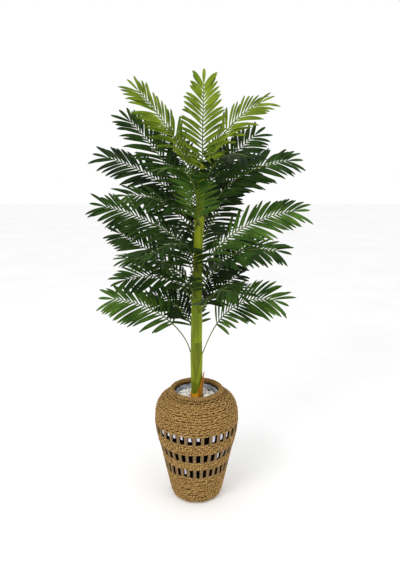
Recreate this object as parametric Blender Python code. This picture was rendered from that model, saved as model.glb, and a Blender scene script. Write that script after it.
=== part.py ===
"""An artificial areca palm in its woven seagrass basket, 1.5 m tall.

Metres, +Z up. The pot stands on z = 0, the photograph was taken from -Y, and +X is its right.
"""

import math
import random
from collections import namedtuple

import bmesh
import bpy
from mathutils import Vector
from mathutils.bvhtree import BVHTree

# Gaps, the grain of the round pieces and the edge angle that still looks smooth (degrees)
GAP = 0.0003
SEAT_GAP = 0.0004
ROUND_STEPS = 48
SMOOTH_ANGLE = 40

# Basket: outer profile as (radius, height), the wall, and its three rows of windows
BASKET_PROFILE = [
    (0.080, 0.000),
    (0.0915, 0.006),
    (0.099, 0.024),
    (0.120, 0.122),
    (0.127, 0.157),
    (0.134, 0.191),
    (0.1435, 0.225),
    (0.153, 0.271),
    (0.1565, 0.302),
    (0.154, 0.343),
    (0.148, 0.367),
    (0.136, 0.387),
    (0.118, 0.402),
    (0.092, 0.4085),
]
BASKET_WALL = 0.005
WINDOW_COUNT = 32
WINDOW_ROWS = [(0.122, 0.157), (0.191, 0.225), (0.271, 0.302)]

# Rolled rim on the basket's mouth
RIM_RADIUS = 0.0915
RIM_HALF_WIDTH = 0.0098
RIM_HALF_HEIGHT = 0.0095
RIM_SIDES = 8

# Black inner pot, its collar, its fill and the pebbles on top
INNER_POT_TOP = 0.392
INNER_POT_TOP_RADIUS = 0.0785
INNER_POT_FOOT_RADIUS = 0.062
INNER_POT_WALL = 0.003
COLLAR_TOP = 0.4075
COLLAR_RADIUS = 0.0795
COLLAR_WALL = 0.003
FILL_TOP = 0.380
PEBBLE_TOP = 0.395
PEBBLE_HOLE_RADIUS = 0.0228
PEBBLE_BUMP = 0.0022
PEBBLE_RINGS = 3
PEBBLE_SEED = 4

# Trunk: radius by height, and the lean of its axis towards +X
TRUNK_FOOT = FILL_TOP + GAP
TRUNK_PROFILE = [
    (TRUNK_FOOT, 0.0185),
    (0.430, 0.0205),
    (0.560, 0.0205),
    (0.680, 0.0190),
    (0.760, 0.0170),
    (0.850, 0.0145),
    (0.980, 0.0142),
    (1.060, 0.0150),
    (1.150, 0.0120),
    (1.235, 0.0070),
]
TRUNK_SIDES = 16
TRUNK_LEAN = 0.022
TRUNK_LEAN_POWER = 3

# Brown sheath round the trunk's foot, with a tongue that stands off to the right
SHEATH_WALL = 0.0025
SHEATH_LOW_HEIGHT = 0.020
SHEATH_TONGUE_HEIGHT = 0.105
SHEATH_TONGUE_AZIMUTH = -10
SHEATH_TONGUE_LEAN = 0.007
SHEATH_TONGUE_POWER = 3
SHEATH_COLUMNS = 20
SHEATH_ROWS = 4

# Fronds: the petiole and rib as a tapering strip, and the leaflets that it carries
RIB_STEPS = 48
PETIOLE_FOOT_WIDTH = 0.011
PETIOLE_WIDTH = 0.0055
RIB_TIP_WIDTH = 0.0030
RIB_THICKNESS = 0.0042
LEAFLET_THICKNESS = 0.0014
PETIOLE_FOOT_SHARE = 0.08
LEAFLET_PITCH = 0.038
LEAFLET_ROOT = 0.011
LEAFLET_WIDTH = 0.023
LEAFLET_WIDEST_AT = 0.52
LEAFLET_LEAVES_AT = (62, 26)
LEAFLET_SHORTEST = 0.62
LEAFLET_SWELL = (0.15, 0.95)
LEAFLET_DROOP = 0.12
END_LEAFLET = 0.050
LEAFLET_CLEARANCE = 0.0012
FEWEST_PAIRS = 4
SHORTER = (1.0, 0.8, 0.6, 0.42)

# Where each frond's rib meets the trunk and how it goes on: height on the trunk (m), azimuth
# (degrees, 0 is +X and -90 is towards the camera), slope at the foot and at the tip (degrees),
# how late it bends, length (m), bare share of the petiole, leaflet length (m), roll of the blade
# about its rib (degrees, positive raises its left side), and sideways swing at the tip (degrees).
Frond = namedtuple("Frond", "height azimuth rise fall bend length bare leaf roll swing")
FROND_ROWS = {
    "frond_top_centre": (1.170, 80, 88, 80, 1.0, 0.325, 0.22, 0.108, 0, 0),
    "frond_top_left": (1.165, 185, 68, 46, 1.0, 0.355, 0.20, 0.118, -45, 0),
    "frond_top_right": (1.185, -5, 80, 26, 1.0, 0.310, 0.20, 0.118, 40, 0),
    "frond_left_1": (1.070, 174, 62, 46, 1.0, 0.375, 0.20, 0.112, -50, 0),
    "frond_right_1": (1.130, 25, 56, 35, 1.0, 0.280, 0.25, 0.105, 50, 0),
    "frond_front_right_1": (1.145, -50, 75, -20, 1.0, 0.260, 0.25, 0.105, 20, 0),
    "frond_front_1": (1.025, -98, 76, -10, 1.5, 0.320, 0.14, 0.105, -5, -58),
    "frond_left_2": (1.050, 182, 58, 16, 0.8, 0.360, 0.20, 0.112, -50, 0),
    "frond_front_left_2": (1.010, 212, 70, 0, 0.6, 0.295, 0.22, 0.100, -40, 0),
    "frond_right_2": (1.045, 4, 68, 4, 0.9, 0.365, 0.20, 0.112, 50, 0),
    "frond_back_right_2": (0.960, 48, 54, 40, 1.0, 0.220, 0.25, 0.105, 50, 0),
    "frond_left_3": (0.915, 187, 64, 14, 0.5, 0.355, 0.20, 0.118, -50, 0),
    "frond_front_3": (0.865, -108, 74, -35, 1.0, 0.310, 0.14, 0.100, -5, -50),
    "frond_right_3": (0.865, -3, 68, 6, 0.8, 0.395, 0.20, 0.118, 50, 0),
    "frond_back_right_1": (1.030, 36, 62, 24, 0.9, 0.290, 0.25, 0.105, 40, 0),
    "frond_back_right_3": (0.795, 30, 54, 18, 0.8, 0.270, 0.25, 0.095, 50, 0),
    "frond_left_4": (0.790, 172, 60, 27, 0.5, 0.330, 0.22, 0.105, -50, 0),
    "frond_front_left_4": (0.765, -120, 74, 0, 0.8, 0.345, 0.16, 0.105, -20, -55),
    "frond_left_5": (0.755, 202, 76, -16, 0.7, 0.285, 0.24, 0.102, -40, 0),
    "frond_right_4": (0.825, -22, 68, -8, 0.8, 0.315, 0.22, 0.105, 40, 0),
    "frond_right_5": (0.720, 35, 44, 22, 1.0, 0.200, 0.25, 0.088, 50, 0),
    "frond_right_6": (0.560, -16, 70, -15, 1.8, 0.370, 0.34, 0.125, 45, 0),
    "frond_front_right_5": (0.715, -52, 62, -15, 1.2, 0.250, 0.25, 0.112, 20, 0),
    "frond_left_6": (0.565, 183, 80, 6, 0.7, 0.360, 0.34, 0.115, -50, 0),
    "frond_back_left_5": (0.660, 150, 60, 0, 1.0, 0.200, 0.25, 0.085, -50, 0),
    "frond_back_left_2": (0.980, 150, 58, 20, 1.0, 0.220, 0.25, 0.090, -50, 0),
    "frond_back_6": (0.600, 108, 68, -5, 0.8, 0.340, 0.26, 0.110, -20, 0),
    "frond_back_5": (0.680, 72, 66, 0, 0.8, 0.340, 0.26, 0.110, 20, 0),
    "frond_back_4": (0.830, 124, 64, 4, 0.8, 0.340, 0.22, 0.110, -25, 0),
    "frond_back_3": (0.880, 84, 66, 6, 0.8, 0.340, 0.22, 0.110, 10, 0),
    "frond_back_2": (1.000, 106, 66, 8, 0.8, 0.330, 0.22, 0.110, -15, 0),
    "frond_back_1": (1.080, 68, 68, 20, 0.8, 0.310, 0.22, 0.105, 20, 0),
    "frond_back_top": (1.120, 132, 70, 30, 0.8, 0.300, 0.22, 0.105, -20, 0),
}
FRONDS = {name: Frond(*row) for name, row in FROND_ROWS.items()}
YOUNG_FRONDS = ("frond_top_centre", "frond_top_left", "frond_top_right")


def new_material(name, colour, roughness):
    material = bpy.data.materials.new(name)
    material.use_nodes = True
    shader = material.node_tree.nodes["Principled BSDF"]
    shader.inputs["Base Color"].default_value = (*colour, 1)
    shader.inputs["Roughness"].default_value = roughness
    shader.inputs["Metallic"].default_value = 0
    return material


def new_object(name, mesh_builder, material, parent):
    """One object from a bmesh, shaded smooth where its faces meet gently."""
    mesh = bpy.data.meshes.new(name)
    mesh_builder.to_mesh(mesh)
    mesh_builder.free()
    mesh.shade_smooth()
    mesh.set_sharp_from_angle(angle=math.radians(SMOOTH_ANGLE))
    mesh.materials.append(material)
    piece = bpy.data.objects.new(name, mesh)
    piece.parent = parent
    bpy.context.collection.objects.link(piece)
    return piece


def polar(radius, azimuth, z):
    return Vector((radius * math.cos(azimuth), radius * math.sin(azimuth), z))


def between(rows, x):
    """Straight-line reading of (x, y) rows."""
    for (x0, y0), (x1, y1) in zip(rows, rows[1:]):
        if x <= x1:
            return y0 + (y1 - y0) * max(0, x - x0) / (x1 - x0)
    return rows[-1][1]


def add_ring(bm, radius, z, count):
    return [bm.verts.new(polar(radius, math.tau * i / count, z)) for i in range(count)]


def bridge(bm, low, high, keep=lambda column: True):
    """Quads facing out between two rings of the same count, in the columns to keep."""
    count = len(low)
    for i in range(count):
        j = (i + 1) % count
        if keep(i):
            bm.faces.new((low[i], low[j], high[j], high[i]))


def turned(profile, count=ROUND_STEPS, closed=False):
    """A profile of (radius, height), bottom to top on its outer side, turned about +Z."""
    bm = bmesh.new()
    rings = [add_ring(bm, radius, z, count) for radius, z in profile]
    for low, high in zip(rings, rings[1:]):
        bridge(bm, low, high)
    if closed:
        bridge(bm, rings[-1], rings[0])
    else:
        bm.faces.new(list(reversed(rings[0])))
        bm.faces.new(rings[-1])
    return bm


def basket(material, parent):
    """The woven shell: every second column is a window in each window row."""
    bm = bmesh.new()
    columns = 2 * WINDOW_COUNT
    rings = [add_ring(bm, radius, z, columns) for radius, z in BASKET_PROFILE]
    window_feet = [low for low, high in WINDOW_ROWS]
    for (low, high), (radius, z) in zip(zip(rings, rings[1:]), BASKET_PROFILE):
        is_window_row = z in window_feet
        bridge(bm, low, high, lambda column: not is_window_row or column % 2)
    centre = bm.verts.new((0, 0, 0))
    for i in range(columns):
        bm.faces.new((centre, rings[0][(i + 1) % columns], rings[0][i]))
    shell = new_object("basket", bm, material, parent)
    wall = shell.modifiers.new("wall", "SOLIDIFY")
    wall.thickness = BASKET_WALL
    wall.offset = -1
    wall.use_even_offset = True
    return shell


def basket_rim(material, parent):
    """A rolled rope lying on the mouth of the basket."""
    mouth = BASKET_PROFILE[-1][1]
    centre_z = mouth + GAP + RIM_HALF_HEIGHT
    profile = []
    for i in range(RIM_SIDES):
        angle = -math.pi / 2 + math.tau * (i + 0.5) / RIM_SIDES
        radius = RIM_RADIUS + RIM_HALF_WIDTH * math.cos(angle)
        flat = math.cos(math.pi / RIM_SIDES)
        profile.append((radius, centre_z + RIM_HALF_HEIGHT * math.sin(angle) / flat))
    return new_object("basket_rim", turned(profile, closed=True), material, parent)


def inner_pot(material, parent):
    """The black pot that holds the plant, standing on the basket's floor."""
    foot = BASKET_WALL + GAP
    wall = INNER_POT_WALL
    profile = [
        (INNER_POT_FOOT_RADIUS, foot),
        (INNER_POT_TOP_RADIUS, INNER_POT_TOP),
        (INNER_POT_TOP_RADIUS - wall, INNER_POT_TOP),
        (INNER_POT_FOOT_RADIUS - wall, foot + wall),
    ]
    return new_object("inner_pot", turned(profile), material, parent)


def collar(material, parent):
    """The grey plastic edge between the rim and the pebbles."""
    foot = INNER_POT_TOP + GAP
    profile = [
        (COLLAR_RADIUS - COLLAR_WALL, foot),
        (COLLAR_RADIUS, foot),
        (COLLAR_RADIUS, COLLAR_TOP),
        (COLLAR_RADIUS - COLLAR_WALL, COLLAR_TOP),
    ]
    return new_object("collar", turned(profile, closed=True), material, parent)


def fill_radius(z):
    """Radius of what fills the inner pot at this height."""
    foot = BASKET_WALL + GAP
    share = (z - foot) / (INNER_POT_TOP - foot)
    outer = INNER_POT_FOOT_RADIUS + share * (INNER_POT_TOP_RADIUS - INNER_POT_FOOT_RADIUS)
    return outer - INNER_POT_WALL - 2 * GAP


def fill(material, parent):
    """The cast weight that the trunk stands in."""
    foot = BASKET_WALL + INNER_POT_WALL + 2 * GAP
    profile = [(fill_radius(foot), foot), (fill_radius(FILL_TOP), FILL_TOP)]
    return new_object("fill", turned(profile), material, parent)


def pebbles(material, parent):
    """A ring of pebbles round the trunk, its top uneven."""
    rng = random.Random(PEBBLE_SEED)
    bm = bmesh.new()
    foot = FILL_TOP + GAP
    outer = fill_radius(foot)
    step = (outer - PEBBLE_HOLE_RADIUS) / PEBBLE_RINGS
    radii = [PEBBLE_HOLE_RADIUS + step * i for i in range(PEBBLE_RINGS + 1)]
    under = [add_ring(bm, radius, foot, ROUND_STEPS) for radius in (radii[0], radii[-1])]
    tops = [add_ring(bm, radius, PEBBLE_TOP, ROUND_STEPS) for radius in radii]
    for ring in tops:
        for vert in ring:
            vert.co.z += rng.uniform(-PEBBLE_BUMP, PEBBLE_BUMP)
    bridge(bm, under[0], under[1])
    bridge(bm, under[1], tops[-1])
    for inner, wider in zip(tops, tops[1:]):
        bridge(bm, wider, inner)
    bridge(bm, tops[0], under[0])
    bmesh.ops.recalc_face_normals(bm, faces=bm.faces)
    return new_object("pebbles", bm, material, parent)


def trunk_axis(z):
    """The trunk leans a little towards +X, more so near its tip."""
    share = (z - TRUNK_FOOT) / (TRUNK_PROFILE[-1][0] - TRUNK_FOOT)
    return Vector((TRUNK_LEAN * max(0, share) ** TRUNK_LEAN_POWER, 0, z))


def trunk_radius(z):
    return between(TRUNK_PROFILE, z)


def trunk_skin(z, azimuth):
    """How far the flat-sided trunk reaches from its axis in one direction."""
    side = math.tau / TRUNK_SIDES
    return trunk_radius(z) * math.cos(side / 2) / math.cos(azimuth % side - side / 2)


def trunk(material, parent):
    bm = bmesh.new()
    rings = []
    for z, radius in TRUNK_PROFILE:
        ring = add_ring(bm, radius, z, TRUNK_SIDES)
        for vert in ring:
            vert.co.x += trunk_axis(z).x
        rings.append(ring)
    for low, high in zip(rings, rings[1:]):
        bridge(bm, low, high)
    bm.faces.new(list(reversed(rings[0])))
    bm.faces.new(rings[-1])
    return new_object("trunk", bm, material, parent)


def base_sheath(material, parent):
    """A brown sheath round the foot: a low cuff with one pointed tongue leaning outwards."""
    bm = bmesh.new()
    rows = []
    foot = TRUNK_FOOT
    for j in range(SHEATH_ROWS + 1):
        share = j / SHEATH_ROWS
        row = []
        for i in range(SHEATH_COLUMNS):
            azimuth = math.tau * i / SHEATH_COLUMNS
            turn = math.cos(azimuth - math.radians(SHEATH_TONGUE_AZIMUTH))
            tongue = max(0, turn) ** SHEATH_TONGUE_POWER
            height = SHEATH_LOW_HEIGHT + (SHEATH_TONGUE_HEIGHT - SHEATH_LOW_HEIGHT) * tongue
            z = foot + height * share
            off = SHEATH_TONGUE_LEAN * tongue * share**2
            radius = trunk_radius(z) + 2 * GAP + off
            row.append(bm.verts.new(polar(radius, azimuth, z) + Vector((trunk_axis(z).x, 0, 0))))
        rows.append(row)
    for low, high in zip(rows, rows[1:]):
        bridge(bm, low, high)
    piece = new_object("base_sheath", bm, material, parent)
    wall = piece.modifiers.new("wall", "SOLIDIFY")
    wall.thickness = SHEATH_WALL
    wall.offset = 1
    return piece


def rib_direction(frond, share):
    """The rib's direction, its left-hand side and the blade's upper normal at a share of its length."""
    slope = math.radians(frond.rise + (frond.fall - frond.rise) * share**frond.bend)
    turn = math.radians(frond.azimuth + frond.swing * share**2)
    ahead = polar(math.cos(slope), turn, math.sin(slope))
    left = Vector((-math.sin(turn), math.cos(turn), 0))
    up = ahead.cross(left)
    tilt = math.radians(frond.roll) * min(1, 2 * share)
    return ahead, left * math.cos(tilt) + up * math.sin(tilt), up * math.cos(tilt) - left * math.sin(tilt)


def rib_points(frond):
    """The rib from the trunk's skin to its tip, by small straight steps."""
    azimuth = math.radians(frond.azimuth)
    seat = trunk_skin(frond.height, azimuth) + SEAT_GAP
    stand_off = seat + math.sin(math.radians(frond.rise)) * RIB_THICKNESS / 2
    point = trunk_axis(frond.height) + polar(stand_off, azimuth, 0)
    points = [point.copy()]
    for i in range(RIB_STEPS):
        ahead = rib_direction(frond, (i + 0.5) / RIB_STEPS)[0]
        point = point + ahead * frond.length / RIB_STEPS
        points.append(point.copy())
    return points


def point_at(points, share):
    place = min(max(share, 0), 1) * RIB_STEPS
    i = min(int(place), RIB_STEPS - 1)
    return points[i].lerp(points[i + 1], place - i)


def rib_width(share):
    """Wide at the petiole's foot, then narrowing evenly to the tip."""
    if share < PETIOLE_FOOT_SHARE:
        spread = 1 - share / PETIOLE_FOOT_SHARE
        return PETIOLE_WIDTH + (PETIOLE_FOOT_WIDTH - PETIOLE_WIDTH) * spread
    return PETIOLE_WIDTH + (RIB_TIP_WIDTH - PETIOLE_WIDTH) * share


def rib_stations(frond):
    """Shares of the length where the strip has a cross section, and which of them start a leaflet."""
    bare = frond.bare
    pairs = max(FEWEST_PAIRS, round(frond.length * (1 - bare) / LEAFLET_PITCH))
    shares = [0, PETIOLE_FOOT_SHARE, (PETIOLE_FOOT_SHARE + bare) / 2]
    roots = []
    for i in range(pairs):
        start = bare + (1 - bare) * i / pairs
        roots.append((len(shares), i / (pairs - 1)))
        shares += [start, start + LEAFLET_ROOT / frond.length]
    shares.append(1)
    return shares, roots


def leaflet_outline(frond, near, far, along, side, scale):
    """Two widest points and the tip of a leaflet whose root runs from near to far on the rib."""
    ahead, left, up = rib_direction(frond, frond.bare + (1 - frond.bare) * along)
    wide_angle, narrow_angle = LEAFLET_LEAVES_AT
    away = math.radians(wide_angle + (narrow_angle - wide_angle) * along)
    across = left * side
    out = ahead * math.cos(away) + across * math.sin(away)
    swell = math.sin(math.pi * min(1, LEAFLET_SWELL[0] + LEAFLET_SWELL[1] * along))
    length = frond.leaf * scale * (LEAFLET_SHORTEST + (1 - LEAFLET_SHORTEST) * swell)
    root = (near + far) / 2
    wide = root + out * length * LEAFLET_WIDEST_AT
    edge = (ahead * math.sin(away) - across * math.cos(away)) * LEAFLET_WIDTH / 2 * math.sqrt(scale)
    tip = root + out * length - Vector((0, 0, LEAFLET_DROOP * length))
    return wide - edge, wide + edge, tip


def thick_tree(polygon, thickness):
    """A collision tree of a flat outline given a thickness, for testing what it would touch."""
    normal = (polygon[1] - polygon[0]).cross(polygon[-1] - polygon[0]).normalized() * thickness / 2
    count = len(polygon)
    points = [p + normal for p in polygon] + [p - normal for p in polygon]
    faces = [tuple(range(count)), tuple(reversed(range(count, 2 * count)))]
    faces += [(i, i + count, (i + 1) % count + count, (i + 1) % count) for i in range(count)]
    return BVHTree.FromPolygons(points, faces)


def strip_edges(frond, shares):
    points = rib_points(frond)
    lefts, rights = [], []
    for share in shares:
        left = rib_direction(frond, share)[1]
        middle = point_at(points, share)
        half = left * rib_width(share) / 2
        lefts.append(middle + half)
        rights.append(middle - half)
    return lefts, rights


def rib_trees(frond):
    """Collision trees of the frond's petiole and rib, with room round them."""
    shares = rib_stations(frond)[0]
    lefts, rights = strip_edges(frond, shares)
    room = RIB_THICKNESS + 2 * LEAFLET_CLEARANCE
    return [
        thick_tree([lefts[i], rights[i], rights[i + 1], lefts[i + 1]], room)
        for i in range(len(shares) - 1)
    ]


def clear_leaflet(frond, near, far, along, side, taken):
    """The longest outline that touches nothing, or None where even a short one would."""
    for scale in SHORTER:
        first, second, tip = leaflet_outline(frond, near, far, along, side, scale)
        tree = thick_tree([near, first, tip, second, far], LEAFLET_THICKNESS + 2 * LEAFLET_CLEARANCE)
        if not any(tree.overlap(other) for other in taken):
            return (first, second, tip), tree
    return None, None


def frond_piece(name, frond, others, material, parent):
    """One frond: a strip with leaflets left and right, and an end leaflet. Returns its collision trees."""
    shares, roots = rib_stations(frond)
    lefts, rights = strip_edges(frond, shares)
    bm = bmesh.new()
    left_verts = [bm.verts.new(p) for p in lefts]
    right_verts = [bm.verts.new(p) for p in rights]
    for i in range(len(shares) - 1):
        bm.faces.new((left_verts[i], right_verts[i], right_verts[i + 1], left_verts[i + 1]))
    thin_verts = []
    own_trees = []
    for side, edge, verts in ((1, lefts, left_verts), (-1, rights, right_verts)):
        for start, along in roots:
            near, far = edge[start], edge[start + 1]
            outline, tree = clear_leaflet(frond, near, far, along, side, others)
            if outline is None:
                continue
            own_trees.append(tree)
            first, second, tip = [bm.verts.new(p) for p in outline]
            root = (verts[start], verts[start + 1])
            if side > 0:
                bm.faces.new((root[0], root[1], second, first))
                bm.faces.new((first, second, tip))
            else:
                bm.faces.new((root[1], root[0], first, second))
                bm.faces.new((second, first, tip))
            thin_verts += [first, second, tip]
    ahead = rib_direction(frond, 1)[0]
    end = bm.verts.new((lefts[-1] + rights[-1]) / 2 + ahead * END_LEAFLET)
    bm.faces.new((left_verts[-1], right_verts[-1], end))
    thin_verts.append(end)
    bm.verts.index_update()
    thin = {vert.index for vert in thin_verts}
    stout = [vert.index for vert in bm.verts if vert.index not in thin]
    piece = new_object(name, bm, material, parent)
    group = piece.vertex_groups.new(name="rib")
    group.add(stout, 1.0, "REPLACE")
    wall = piece.modifiers.new("thickness", "SOLIDIFY")
    wall.thickness = RIB_THICKNESS
    wall.offset = 0
    wall.vertex_group = group.name
    wall.thickness_vertex_group = LEAFLET_THICKNESS / RIB_THICKNESS
    return own_trees


def trunk_trees():
    """Collision trees of the trunk's sides."""
    trees = []
    for (z0, r0), (z1, r1) in zip(TRUNK_PROFILE, TRUNK_PROFILE[1:]):
        for i in range(TRUNK_SIDES):
            a, b = math.tau * i / TRUNK_SIDES, math.tau * (i + 1) / TRUNK_SIDES
            corners = [(r0, a, z0), (r0, b, z0), (r1, b, z1), (r1, a, z1)]
            face = [polar(r, angle, z) + Vector((trunk_axis(z).x, 0, 0)) for r, angle, z in corners]
            trees.append(thick_tree(face, LEAFLET_CLEARANCE))
    return trees


def crown(young_material, leaf_material, parent):
    """All fronds in order.

    A leaflet that would touch a rib, the trunk or an earlier leaflet is shortened or left off.
    """
    ribs = {name: rib_trees(frond) for name, frond in FRONDS.items()}
    placed = trunk_trees()
    for name, frond in FRONDS.items():
        other_ribs = [tree for other, trees in ribs.items() if other != name for tree in trees]
        material = young_material if name in YOUNG_FRONDS else leaf_material
        placed += frond_piece(name, frond, placed + other_ribs, material, parent)


def main():
    for old in list(bpy.data.objects):
        bpy.data.objects.remove(old, do_unlink=True)
    palm = bpy.data.objects.new("palm", None)
    bpy.context.collection.objects.link(palm)
    seagrass = new_material("seagrass", (0.266, 0.159, 0.060), 0.85)
    black_plastic = new_material("black plastic", (0.012, 0.012, 0.013), 0.5)
    grey_plastic = new_material("grey plastic", (0.25, 0.27, 0.32), 0.5)
    cement = new_material("cement", (0.30, 0.29, 0.27), 0.95)
    stone = new_material("white pebbles", (0.52, 0.50, 0.43), 0.7)
    bark = new_material("green trunk", (0.16, 0.20, 0.016), 0.55)
    sheath = new_material("brown sheath", (0.45, 0.22, 0.02), 0.7)
    young = new_material("young frond", (0.15, 0.21, 0.05), 0.5)
    leaf = new_material("dark frond", (0.03, 0.075, 0.022), 0.45)
    basket(seagrass, palm)
    basket_rim(seagrass, palm)
    inner_pot(black_plastic, palm)
    collar(grey_plastic, palm)
    fill(cement, palm)
    pebbles(stone, palm)
    trunk(bark, palm)
    base_sheath(sheath, palm)
    crown(young, leaf, palm)


main()
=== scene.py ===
"""The looks of the artificial areca palm in its seagrass basket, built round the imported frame.

Metres, +Z up. The photograph was taken from -Y, with +X to its right.
"""

import math
import random
from collections import namedtuple

import bmesh
import bpy
import numpy as np
from mathutils import Matrix, Vector

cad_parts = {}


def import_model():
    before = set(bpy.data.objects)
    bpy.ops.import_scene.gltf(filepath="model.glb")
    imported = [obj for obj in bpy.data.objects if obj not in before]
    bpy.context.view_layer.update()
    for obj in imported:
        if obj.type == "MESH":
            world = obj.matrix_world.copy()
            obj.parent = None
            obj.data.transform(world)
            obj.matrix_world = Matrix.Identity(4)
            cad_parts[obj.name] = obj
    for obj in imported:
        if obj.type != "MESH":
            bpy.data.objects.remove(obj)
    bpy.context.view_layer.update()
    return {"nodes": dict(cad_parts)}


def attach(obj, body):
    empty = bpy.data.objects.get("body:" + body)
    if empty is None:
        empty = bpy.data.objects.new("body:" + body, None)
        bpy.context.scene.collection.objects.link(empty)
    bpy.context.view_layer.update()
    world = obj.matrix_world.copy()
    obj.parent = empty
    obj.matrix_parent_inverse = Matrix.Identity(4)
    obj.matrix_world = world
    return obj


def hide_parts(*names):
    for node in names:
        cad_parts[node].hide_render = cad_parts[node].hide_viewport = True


# Camera as in the photograph, which is 570 pixels high: focal length in pixels, place in metres and
# how many degrees it looks down
PHOTO_HEIGHT = 570
PHOTO_FOCAL = 535
SENSOR = 36
CAMERA_PLACE = (0.0128, -1.84, 1.241)
CAMERA_LOOKS_DOWN = 13.1

# Basket: outer profile as (radius, height), its bands of rope and its rows of windows
BASKET_PROFILE = [
    (0.080, 0.000),
    (0.0915, 0.006),
    (0.099, 0.024),
    (0.120, 0.122),
    (0.127, 0.157),
    (0.134, 0.191),
    (0.1435, 0.225),
    (0.153, 0.271),
    (0.1565, 0.302),
    (0.154, 0.343),
    (0.148, 0.367),
    (0.136, 0.387),
    (0.118, 0.402),
    (0.092, 0.4085),
]
BASKET_HEIGHT = BASKET_PROFILE[-1][1]
WINDOW_COUNT = 32
WINDOW_ROWS = [(0.122, 0.157), (0.191, 0.225), (0.271, 0.302)]
ROPE_BANDS = [(0.001, 0.122), (0.157, 0.191), (0.225, 0.271), (0.302, BASKET_HEIGHT)]
ROPE_PITCH = 0.0092
ROPE_RADIUS = 0.0052
ROPE_LOBE = 0.42
ROPE_TWIST = 0.026
ROPE_STEP = 0.0026
ROPE_OPEN_ANGLE = 125
ROPE_POINTS = 8
ROPE_WOBBLE = 0.0009
LOOSE_WOBBLE = 0.0026
WOBBLE_SPREAD = (0.5, 1)
WOBBLE_WAVES = (5, 11)
# Painted shade on each rope: its lit share in the groove between strand lobes, and how fast its sides
# darken towards the neighbouring rows
ROPE_GROOVE_LIT_SHARE = 0.25
ROPE_SIDE_SHADE = 0.85
BAND_SAMPLES = 200
UNDERSIDE_RINGS = 9
UNDERSIDE_FIRST_RING = 0.8
UNDERSIDE_Z = 0.0001
NECK_RADIUS = 0.0975
# Colour of the shade painted into the grooves, and the range of lit share over which it fades out
PAINTED_GROOVE_SHADE = (0.22, 0.15, 0.08, 1)
GROOVE_RANGE = (0.1, 0.62)

# Stakes between the windows: wrapped bundles
STAKE_HALF_WIDTH = 0.0064
STAKE_HALF_DEPTH = 0.0036
STAKE_OVERLAP = 0.005
STAKE_WRAP = 0.0046
STAKE_SIDES = 12
STAKE_STEPS = 22
STAKE_INSET = 0.0008
STAKE_SWELL = 0.16
# Lit share between a stake's wraps: painted shade
STAKE_GROOVE_LIT_SHARE = 0.3
STAKE_GRAIN = 3

# What shows behind the windows: a near-black sheet, which is painted shade for the dark inside of the
# basket, and crumpled pale plastic. The plastic's share of the windows is by row, from the lowest; its
# width is a share of the pitch of the windows, its shift and skew are shares of its width, and its lower
# edge is a share of the window's height
SHADE_SHEET_INSET = 0.0115
SHADE_SHEET_LEAST_INSET = 0.5
SHADE_SHEET_STEPS = 96
PLASTIC_SHARES = (0.12, 0.16, 0.86)
PLASTIC_INSET = 0.0075
PLASTIC_CRUMPLE = 0.0016
PLASTIC_WIDTH = (0.26, 0.5)
PLASTIC_SHIFT = (-0.35, 0.15)
PLASTIC_LOWER_EDGE = (0.05, 0.55)
PLASTIC_SKEW = (-0.1, 0.1)
PLASTIC_OVERLAP = 0.003
PLASTIC_ROWS = 5
PLASTIC_COLUMNS = 6

# Rim, collar and pebbles
RIM_RADIUS = 0.0903
RIM_CENTRE_Z = BASKET_HEIGHT + 0.0092
RIM_HALF_WIDTH = 0.0094
RIM_HALF_HEIGHT = 0.0095
RIM_WRAPS = 84
RIM_STEPS_PER_WRAP = 8
RIM_SIDES = 18
RIM_GROOVE = 0.0022
RIM_LIFT = 0.0009
# Lit share in the grooves between the rim's wraps, which is painted shade, and how much darker a wrap is
# the deeper its random lift sinks it
RIM_GROOVE_LIT_SHARE = 0.1
RIM_TONE_SPREAD = 0.45
RIM_GRAIN = (1.6, 0.37)
PEBBLE_COUNT = 760
PEBBLE_SIZES = (0.0030, 0.0056)
PEBBLE_RING = (0.0215, 0.0752)
PEBBLE_LEVEL = 0.3945
PEBBLE_DEPTH = 0.005
PEBBLE_TILT = (-0.6, 0.6)
PEBBLE_STRETCH = ((0.8, 1.1), (0.6, 0.9), (0.5, 0.75))
PEBBLE_UNEVEN = (0.93, 1.05)
PEBBLE_SUBDIVISIONS = 2

# Trunk: radius by height, and the lean of its axis towards +X
TRUNK_FOOT = 0.3803
TRUNK_PROFILE = [
    (TRUNK_FOOT, 0.0185),
    (0.430, 0.0205),
    (0.560, 0.0205),
    (0.680, 0.0190),
    (0.760, 0.0170),
    (0.850, 0.0145),
    (0.980, 0.0142),
    (1.060, 0.0150),
    (1.150, 0.0120),
    (1.235, 0.0070),
]
TRUNK_TOP = TRUNK_PROFILE[-1][0]
TRUNK_SIDES = 16
TRUNK_LEAN = 0.022
TRUNK_LEAN_POWER = 3
SKIN_SIDES = 40
SKIN_STEP = 0.004
SKIN_FIBRE = 0.00025
SKIN_WAVE = 0.5
SKIN_WAVES_PER_METRE = 9

# Green sheath that runs down the trunk from the foot of each frond: half its angle round the trunk
# (degrees) and how far it stands off, at its top and at its lower end
LEAF_SHEATH_LENGTH = 0.115
LEAF_SHEATH_ANGLES = (14, 92)
LEAF_SHEATH_WIDENING = 0.85
LEAF_SHEATH_STAND = (0.0022, 0.0003)
LEAF_SHEATH_EDGE_DROP = 0.75
LEAF_SHEATH_EDGE_POWER = 4
# How close to its edges a sheath's painted shade stays
LEAF_SHEATH_PAINTED_SHADE_POWER = 8
LEAF_SHEATH_ABOVE_FOOT = 0.004
LEAF_SHEATH_ABOVE_GROUND = 0.02
LEAF_SHEATH_ROWS = 14
LEAF_SHEATH_COLUMNS = 12
# Colour of the shade painted along the sheath edges, where they meet the trunk
SHEATH_EDGE_PAINTED_SHADE = (0.42, 0.40, 0.20, 1)

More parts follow.
